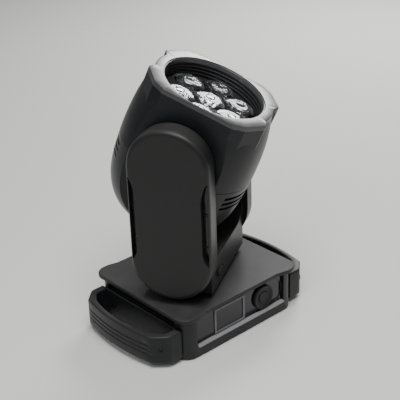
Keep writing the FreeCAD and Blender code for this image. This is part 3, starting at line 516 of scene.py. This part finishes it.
bm = bmesh.new()
for node in ("data_inlet", "data_outlet"):
    low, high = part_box(node)
    centre = (low + high) / 2
    for k in range(5):
        angle = math.radians(-30 + 60 * k)
        pin = bmesh.new()
        spun(pin, [(0, 0), (PIN_R, 0), (PIN_R, PIN_TIP - CAVITY_BACK - 0.6 * MM),
                   (PIN_TIP_R, PIN_TIP - CAVITY_BACK), (0, PIN_TIP - CAVITY_BACK)], 12)
        place = (Matrix.Translation((centre.x + PIN_CIRCLE_R * math.cos(angle), CAVITY_BACK,
                                     centre.z + PIN_CIRCLE_R * math.sin(angle)))
                 @ Matrix.Rotation(math.radians(-90), 4, "X"))
        bmesh.ops.transform(pin, matrix=place, verts=pin.verts)
        added(bm, pin)
for node in ("power_inlet", "power_outlet"):
    low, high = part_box(node)
    centre = (low + high) / 2
    for k in range(3):
        angle = math.radians(90 + 120 * k)
        blade = bmesh.new()
        bmesh.ops.create_cube(blade, size=1)
        length = PIN_TIP - CAVITY_BACK
        bmesh.ops.scale(blade, vec=(BLADE_WIDTH, length, BLADE_THICKNESS), verts=blade.verts)
        bmesh.ops.bevel(blade, geom=blade.edges[:], offset=BLADE_EDGE, segments=2, profile=0.5,
                        affect="EDGES", material=-1)
        place = (Matrix.Translation((centre.x, CAVITY_BACK + length / 2, centre.z))
                 @ Matrix.Rotation(angle, 4, "Y") @ Matrix.Translation((0, 0, BLADE_CIRCLE_R)))
        bmesh.ops.transform(blade, matrix=place, verts=blade.verts)
        added(bm, blade)
new_piece("socket_contacts", bm, Matrix.Identity(4), "base", CONTACT_METAL, 35)


# Inside the base: the mains supply in its folded aluminium case, the main circuit board, the
# display's board, and the hollow pivot with the fixed pulley that the pan belt runs round.

ALUMINIUM = finish("machined_aluminium", (0.62, 0.63, 0.64), 0.32, grains=500, depth=0.01, metallic=1.0,
                   dust=0.1, wear_and_highlight=0.1)
SOLDER_MASK = finish("solder_mask", (0.010, 0.075, 0.032), 0.35, grains=700, depth=0.04, coat=0.3)
dress(ALUMINIUM, "power_supply", "pan_spindle", "pan_pulley")
dress(SOLDER_MASK, "control_board", "display_module")


# Yoke. An aluminium casting, black powder coat, with a trough across the bottom and a flat plate
# up each side; a curved lid closes the trough. Two thumb sliders lock the pan and the tilt.

# Its wide, strong edge mask lightens the casting's edges, partly as a painted highlight of the lit lip.
CAST_BLACK = finish("cast_black", (0.008, 0.0085, 0.010), 0.36, grains=1100, depth=0.05, radius=1.6 * MM,
                    wear_and_highlight=0.6)
dress(CAST_BLACK, "yoke_frame", "crossbar_lid")
dress(DIAL_SOFT, "pan_lock", "tilt_lock")


# Arm covers. Each is a satin black shell shaped like a pill, with a wide rolled rim, and a long
# hollow down each edge where a gloss strip and two screws sit. It clips over the cast plate.

COVER_SATIN = finish("cover_satin", (0.013, 0.0125, 0.0125), 0.34, grains=1500, depth=0.02, wear_and_highlight=0.5,
                     dust=0.5, radius=1.2 * MM)
CHANNEL_GLOSS = finish("channel_gloss", (0.003, 0.003, 0.004), 0.16, grains=400, depth=0.004, coat=0.4)
dress(COVER_SATIN, "arm_cover_right", "arm_cover_left")
dress(CHANNEL_GLOSS, "arm_trims")
dress(BLACK_OXIDE, "cover_screws")


# Drives in the yoke: square stepping motors with brass pinions, ribbed rubber belts, plain
# bearings, and the driver board on the inside of an arm.

MOTOR_BLACK = finish("motor_black", (0.016, 0.016, 0.018), 0.34, grains=900, depth=0.02, metallic=0.5)
BRASS = finish("turned_brass", (0.60, 0.42, 0.16), 0.28, grains=600, depth=0.008, metallic=1.0, dust=0.1)
dress(MOTOR_BLACK, "pan_motor", "tilt_motor", "zoom_motor")
dress(BRASS, "pan_pinion", "tilt_pinion")
dress(SOFT_RUBBER, "pan_belt", "tilt_belt")
dress(ZINC, "bearings")
dress(SOLDER_MASK, "driver_board")


# Head shells. Front and rear halves are moulded in satin black with a fine grain and meet at a
# split line just behind the tilt axis; four cap screws hold the tail.

def place_of(right, up, origin):
    """Where a body's own upright frame lies while the light is at rest."""
    columns = Matrix((right, up.cross(right), up)).transposed()
    return Matrix.Translation(origin) @ columns.to_4x4()


tilt_axis = Vector(joints["tilt"]["axis"]).normalized()
beam_axis = Vector(joints["zoom_slide"]["axis"]).normalized()
HEAD_PLACE = place_of(tilt_axis, beam_axis, Vector(joints["tilt"]["pos_m"]))
HOUSING = finish("housing_black", (0.0055, 0.006, 0.0075), 0.34, grains=1600, depth=0.03, dust=0.4, wear_and_highlight=0.6,
                 radius=1.2 * MM)
dress(HOUSING, "front_housing", "rear_housing")
TAIL_Z = -122 * MM
TAIL_SCREW_RING = 40 * MM
TAIL_SCREW_R, TAIL_SCREW_HEAD = 2.8 * MM, 1.6 * MM

bm = bmesh.new()
for quarter in range(4):
    angle = math.radians(90 * quarter)
    centre = (TAIL_SCREW_RING * math.cos(angle), TAIL_SCREW_RING * math.sin(angle), TAIL_Z)
    screw_head(bm, centre, (0, 0, -1), TAIL_SCREW_R, TAIL_SCREW_HEAD)
new_piece("tail_screws", bm, HEAD_PLACE, "head", BLACK_OXIDE, 35)


# Front ring. A satin moulding, thin over the flats and wider at its four corner lobes, with a stepped
# inner lip round the mouth. Its grey-black colour, lighter than the shells, is painted light standing in
# for the light its upturned face catches. It is bonded to the front shell.

# Base colour lighter than the black shells: painted light for the lit front ring.
BEZEL_PAINTED_LIGHT_GREY = finish("bezel_satin_painted_lighter", (0.040, 0.040, 0.042), 0.26, grains=1700, depth=0.015, wear_and_highlight=0.4, dust=0.5,
                     gloss=0.6)
BEZEL_LOW, BEZEL_TOP = 84 * MM, 91 * MM
MOUTH_R = 72 * MM
RING_R = 87 * MM
FLAT_X = 76 * MM
LOBE_R = 7 * MM
LOBE_CORNERS = [(x * MM, y * MM) for x, y in ((76, 52), (66, 68), (34, 90), (22.83, 83.95))]


def ring_quarter():
    """Quarter of the ring's outline: side flat, slanted lobe, step, and the arc over the top."""
    side, low, high, step = LOBE_CORNERS
    low_corner = corner_arc(side, low, high, LOBE_R, 4)
    high_corner = corner_arc(low, high, step, LOBE_R, 6)
    crown = arc_points((0, 0), RING_R, math.degrees(math.acos(step[0] / RING_R)), 90, 5)
    return [(FLAT_X, 0), side] + [tuple(point) for point in low_corner + high_corner] + crown


def full_outline(quarter):
    upper = quarter + [(-x, y) for x, y in reversed(quarter[:-1])]
    return upper + [(x, -y) for x, y in reversed(upper[1:-1])]


def next_loop(bm, edges, z, inset=None, radius=None):
    """Extrudes a closed loop of edges to a new height, pulled inwards or onto a circle."""
    made = bmesh.ops.extrude_edge_only(bm, edges=edges)
    verts = [item for item in made["geom"] if isinstance(item, bmesh.types.BMVert)]
    for vert in verts:
        flat = Vector((vert.co.x, vert.co.y, 0))
        reach = radius if radius is not None else flat.length - inset
        vert.co = flat.normalized() * reach + Vector((0, 0, z))
    return [item for item in made["geom"] if isinstance(item, bmesh.types.BMEdge)
            and all(v in verts for v in item.verts)]


bm = bmesh.new()
verts, loop = drawn_loop(bm, [(x, y, BEZEL_LOW) for x, y in full_outline(ring_quarter())])
bmesh.ops.subdivide_edges(bm, edges=loop, cuts=5, use_grid_fill=False)
loop = bm.edges[:]
loop = next_loop(bm, loop, BEZEL_TOP - 1.5 * MM, inset=0)
loop = next_loop(bm, loop, BEZEL_TOP - 0.5 * MM, inset=0.35 * MM)
loop = next_loop(bm, loop, BEZEL_TOP, inset=1.2 * MM)
loop = next_loop(bm, loop, BEZEL_TOP, radius=MOUTH_R + 2.6 * MM)
loop = next_loop(bm, loop, BEZEL_TOP - 0.3 * MM, radius=MOUTH_R + 2.2 * MM)
loop = next_loop(bm, loop, BEZEL_TOP - 1.6 * MM, radius=MOUTH_R + 2.0 * MM)
loop = next_loop(bm, loop, BEZEL_TOP - 1.9 * MM, radius=MOUTH_R + 0.8 * MM)
loop = next_loop(bm, loop, BEZEL_LOW, radius=MOUTH_R - 0.8 * MM)
open_loops = [edge for edge in bm.edges if edge.is_boundary]
bmesh.ops.bridge_loops(bm, edges=open_loops)
bezel = new_piece("front_ring", bm, HEAD_PLACE, "head", BEZEL_PAINTED_LIGHT_GREY, 30)
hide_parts("bezel")


# Barrel. A matt black tube under the ring, with shallow baffle grooves that keep stray light off
# the lenses' edges.

BARREL_MATT = finish("barrel_matt", (0.010, 0.010, 0.011), 0.55, grains=1500, depth=0.03, dust=0.2)
BARREL_WALL_R = 70.1 * MM
BARREL_LOW = 46 * MM
BARREL_FOOT, BARREL_LEDGE_R = 42 * MM, MOUTH_R - 4 * MM
BAFFLES, BAFFLE_PITCH, BAFFLE_DEPTH = 6, 5.2 * MM, 0.9 * MM

profile = [(BARREL_LEDGE_R, BARREL_FOOT), (MOUTH_R, BARREL_FOOT), (MOUTH_R, BEZEL_LOW)]
height = BEZEL_LOW
profile.append((BARREL_WALL_R + BAFFLE_DEPTH, BEZEL_LOW))
for _ in range(BAFFLES):
    height -= BAFFLE_PITCH
    profile += [(BARREL_WALL_R + BAFFLE_DEPTH, height + 1.0 * MM), (BARREL_WALL_R, height + 0.4 * MM),
                (BARREL_WALL_R, height - 0.6 * MM), (BARREL_WALL_R + BAFFLE_DEPTH, height - 1.2 * MM)]
profile += [(BARREL_WALL_R, BARREL_LOW), (BARREL_LEDGE_R, BARREL_LOW), (BARREL_LEDGE_R, BARREL_FOOT)]
bm = bmesh.new()
spun(bm, profile, 96)
barrel = new_piece("baffle_tube", bm, HEAD_PLACE, "head", BARREL_MATT, 30)
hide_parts("barrel")


# Lenses. Seven hexagonal acrylic lenses with a domed middle and fine concentric steps, set edge
# to edge on the sliding plate. Under each lies a pleated bright tray with a cup of 14 facets; both
# are metallised plastic.

LENS_FLATS = 44 * MM
LENS_PITCH = 45 * MM
LENS_LOW, LENS_TOP = 65.9 * MM, 75.1 * MM
LENS_BALL = 44 * MM
LENS_CLEAR_R, LENS_CLEAR_RISE = 7 * MM, 0.9 * MM
STEP_PITCH, STEP_HEIGHT = 2.6 * MM, 0.55 * MM
PIPS = 12
PIP_HEIGHT = 0.08 * MM
CUP_LOW, CUP_TOP = 43 * MM, 65 * MM
CUP_LOW_R, CUP_TOP_R = 12.5 * MM, 16.4 * MM
CUP_WALL = 0.4 * MM
CUP_FACETS = 14
TRAY_LOW, TRAY_WALL = 65.1 * MM, 0.08 * MM
TRAY_BEND_R, TRAY_RIM_R = 20 * MM, 26 * MM
PLEATS = 24
PLEAT_HEIGHT = 0.4 * MM


def clear_acrylic(name, roughness):
    """Clear moulded acrylic with a trace of flow lines in it."""
    material = bpy.data.materials.new(name)
    material.use_nodes = True
    tree = material.node_tree
    shader = tree.nodes["Principled BSDF"]
    shader.inputs["Transmission Weight"].default_value = 1.0
    shader.inputs["IOR"].default_value = 1.49
    position = tree.nodes.new("ShaderNodeTexCoord").outputs["Object"]
    grain = tree.nodes.new("ShaderNodeGroup")
    grain.node_tree = GRAIN
    grain.inputs["Grains per Metre"].default_value = 260.0
    tree.links.new(position, grain.inputs["Position"])
    tint = blended(tree, grain.outputs["Mottle"], (0.95, 0.97, 0.98, 1), (0.99, 0.99, 0.99, 1))
    tree.links.new(tint, shader.inputs["Base Color"])
    haze = worked_out(tree, "MULTIPLY", grain.outputs["Mottle"], roughness)
    tree.links.new(haze, shader.inputs["Roughness"])
    bump = tree.nodes.new("ShaderNodeBump")
    bump.inputs["Distance"].default_value = 0.02 * MM
    tree.links.new(grain.outputs["Height"], bump.inputs["Height"])
    tree.links.new(bump.outputs["Normal"], shader.inputs["Normal"])
    return material


LENS_ACRYLIC = clear_acrylic("lens_acrylic", 0.06)
CUP_BRIGHT = finish("cup_bright", (0.58, 0.59, 0.60), 0.12, grains=500, depth=0.004, metallic=1.0,
                    dust=0.0, wear_and_highlight=0.0, uneven=0.06)


def lens_places():
    ring = [(LENS_PITCH * math.cos(math.radians(60 * k)), LENS_PITCH * math.sin(math.radians(60 * k)))
            for k in range(6)]
    return [(0.0, 0.0)] + ring


def lens_height(radius):
    """Top surface of a lens: a ball, with fine steps outside its clear middle."""
    ball = LENS_TOP - LENS_BALL + math.sqrt(LENS_BALL ** 2 - radius ** 2)
    if radius <= LENS_CLEAR_R:
        return ball + LENS_CLEAR_RISE * (1 - (radius / LENS_CLEAR_R) ** 2)
    share = ((radius - LENS_CLEAR_R) % STEP_PITCH) / STEP_PITCH
    return ball + STEP_HEIGHT * (share - 0.5)


def hexagon_cut(bm, flats, centre):
    for k in range(6):
        angle = math.radians(60 * k)
        normal = Vector((math.cos(angle), math.sin(angle), 0))
        bmesh.ops.bisect_plane(bm, geom=bm.verts[:] + bm.edges[:] + bm.faces[:], clear_outer=True,
                               plane_co=Vector(centre) + normal * flats / 2, plane_no=normal)


whole = bmesh.new()
for x, y in lens_places():
    lens = bmesh.new()
    radii = [0.0, 2.4 * MM, 4.7 * MM, 6.9 * MM]
    while radii[-1] < 25.6 * MM:
        step_start = LENS_CLEAR_R + STEP_PITCH * round((radii[-1] - 6.9 * MM) / STEP_PITCH)
        radii += [step_start + 0.1 * MM, step_start + 0.55 * STEP_PITCH, step_start + STEP_PITCH - 0.1 * MM]
    spun(lens, [(r, lens_height(r)) for r in radii], PIPS * 6)
    for vert in lens.verts:
        step = (math.hypot(vert.co.x, vert.co.y) - LENS_CLEAR_R) // STEP_PITCH
        if step >= 0:
            vert.co.z += PIP_HEIGHT * math.cos(PIPS * math.atan2(vert.co.y, vert.co.x) + math.pi * step)
    bmesh.ops.translate(lens, verts=lens.verts, vec=(x, y, 0))
    hexagon_cut(lens, LENS_FLATS, (x, y, 0))
    border = [edge for edge in lens.edges if edge.is_boundary]
    made = bmesh.ops.extrude_edge_only(lens, edges=border)
    for item in made["geom"]:
        if isinstance(item, bmesh.types.BMVert):
            item.co.z = LENS_LOW
    border = [edge for edge in lens.edges if edge.is_boundary]
    bmesh.ops.holes_fill(lens, edges=border)
    added(whole, lens)
lens_piece = new_piece("lens_array", whole, HEAD_PLACE, "lens_carriage", LENS_ACRYLIC, 24)
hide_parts("lenses")

whole = bmesh.new()
for x, y in lens_places():
    tray = bmesh.new()
    under = [(CUP_TOP_R, TRAY_LOW), (TRAY_BEND_R, TRAY_LOW + 0.25 * MM), (TRAY_RIM_R, TRAY_LOW + 0.3 * MM)]
    over = [(radius, height + TRAY_WALL) for radius, height in reversed(under)]
    spun(tray, under + over + [under[0]], PLEATS * 2)
    for vert in tray.verts:
        angle = math.atan2(vert.co.y, vert.co.x)
        vert.co.z += PLEAT_HEIGHT * (round(angle * PLEATS / math.pi) % 2)
        if math.hypot(vert.co.x, vert.co.y) > TRAY_RIM_R - 1 * MM:
            from_flat = (angle + math.pi / 6) % (math.pi / 3) - math.pi / 6
            reach = LENS_FLATS / 2 / math.cos(from_flat)
            vert.co.x, vert.co.y = reach * math.cos(angle), reach * math.sin(angle)
    bmesh.ops.translate(tray, verts=tray.verts, vec=(x, y, 0))
    added(whole, tray)
    cup = bmesh.new()
    profile = []
    for k in range(5):
        share = k / 4
        height = CUP_LOW + (CUP_TOP - CUP_LOW) * share
        profile.append((CUP_LOW_R + (CUP_TOP_R - CUP_LOW_R) * math.sqrt(share), height))
    profile += [(radius + CUP_WALL, height) for radius, height in reversed(profile)] + [profile[0]]
    spun(cup, profile, CUP_FACETS)
    bmesh.ops.translate(cup, verts=cup.verts, vec=(x, y, 0))
    added(whole, cup)
new_piece("light_cups", whole, HEAD_PLACE, "lens_carriage", CUP_BRIGHT, 5)
dress(BARREL_MATT, "lens_plate")


# Light engine: the circuit board with its emitters, the clear light guides that stand on it, and
# the finned heat sink, steel straps, fan and zoom drive behind.

GUIDE_ACRYLIC = clear_acrylic("guide_acrylic", 0.10)
FAN_BLACK = finish("fan_black", (0.012, 0.012, 0.013), 0.42, grains=1500, depth=0.02)
dress(GUIDE_ACRYLIC, "light_rods")
dress(SOLDER_MASK, "led_board")
dress(ALUMINIUM, "heat_sink", "tilt_shafts", "tilt_pulley")
dress(ZINC, "head_chassis", "guide_rods", "zoom_screw")
dress(FAN_BLACK, "fan_frame", "fan_rotor")


# Hub rings. Thin black nylon discs between the head and the arms. Each slips over a tilt shaft and
# hides the gap round it.

dress(BARREL_MATT, "hub_rings")


# Stage. A pale floor, a dim even surround, three soft lights and the camera, which stands high off
# the light's front left corner.

floor_bm = bmesh.new()
bmesh.ops.create_grid(floor_bm, x_segments=1, y_segments=1, size=7.0)
floor_mesh = bpy.data.meshes.new("floor")
floor_bm.to_mesh(floor_mesh)
floor_bm.free()
floor = bpy.data.objects.new("floor", floor_mesh)
bpy.context.scene.collection.objects.link(floor)
floor_paint = bpy.data.materials.new("floor_paint")
floor_paint.use_nodes = True
floor_shader = floor_paint.node_tree.nodes["Principled BSDF"]
floor_shader.inputs["Base Color"].default_value = (0.80, 0.79, 0.77, 1)
floor_shader.inputs["Roughness"].default_value = 0.75
floor_mesh.materials.append(floor_paint)

world = bpy.data.worlds.new("studio")
bpy.context.scene.world = world
world.use_nodes = True
world.node_tree.nodes["Background"].inputs["Color"].default_value = (0.90, 0.92, 0.95, 1)
world.node_tree.nodes["Background"].inputs["Strength"].default_value = 0.22

middle = (cad_box[0] + cad_box[1]) / 2


def soft_light(name, position, size, power):
    data = bpy.data.lights.new(name, "AREA")
    data.shape = "RECTANGLE"
    data.size, data.size_y = size
    data.energy = power
    lamp = bpy.data.objects.new(name, data)
    lamp.location = position
    lamp.rotation_mode = "QUATERNION"
    lamp.rotation_quaternion = (middle - Vector(position)).to_track_quat("-Z", "Y")
    bpy.context.scene.collection.objects.link(lamp)


soft_light("back_right_softbox", (1.7, 0.9, 1.15), (0.8, 0.6), 30)
soft_light("overhead_softbox", (-0.35, -0.5, 1.8), (1.1, 0.8), 27)
soft_light("front_left_fill", (-1.25, -0.5, 1.35), (0.5, 0.5), 5)

CAMERA_FROM = Vector((-0.872, -1.001, 0.838))
LOOK_AT = Vector((0.005, -0.008, 0.186))
LENS = 92.0
ROLL = math.radians(-2.0)
camera_data = bpy.data.cameras.new("camera")
camera_data.lens = LENS
camera_data.sensor_width = 36.0
camera = bpy.data.objects.new("camera", camera_data)
camera.location = CAMERA_FROM
camera.rotation_mode = "QUATERNION"
aim = (LOOK_AT - CAMERA_FROM).to_track_quat("-Z", "Y")
camera.rotation_quaternion = aim @ Matrix.Rotation(ROLL, 3, "Z").to_quaternion()
bpy.context.scene.collection.objects.link(camera)
bpy.context.scene.camera = camera
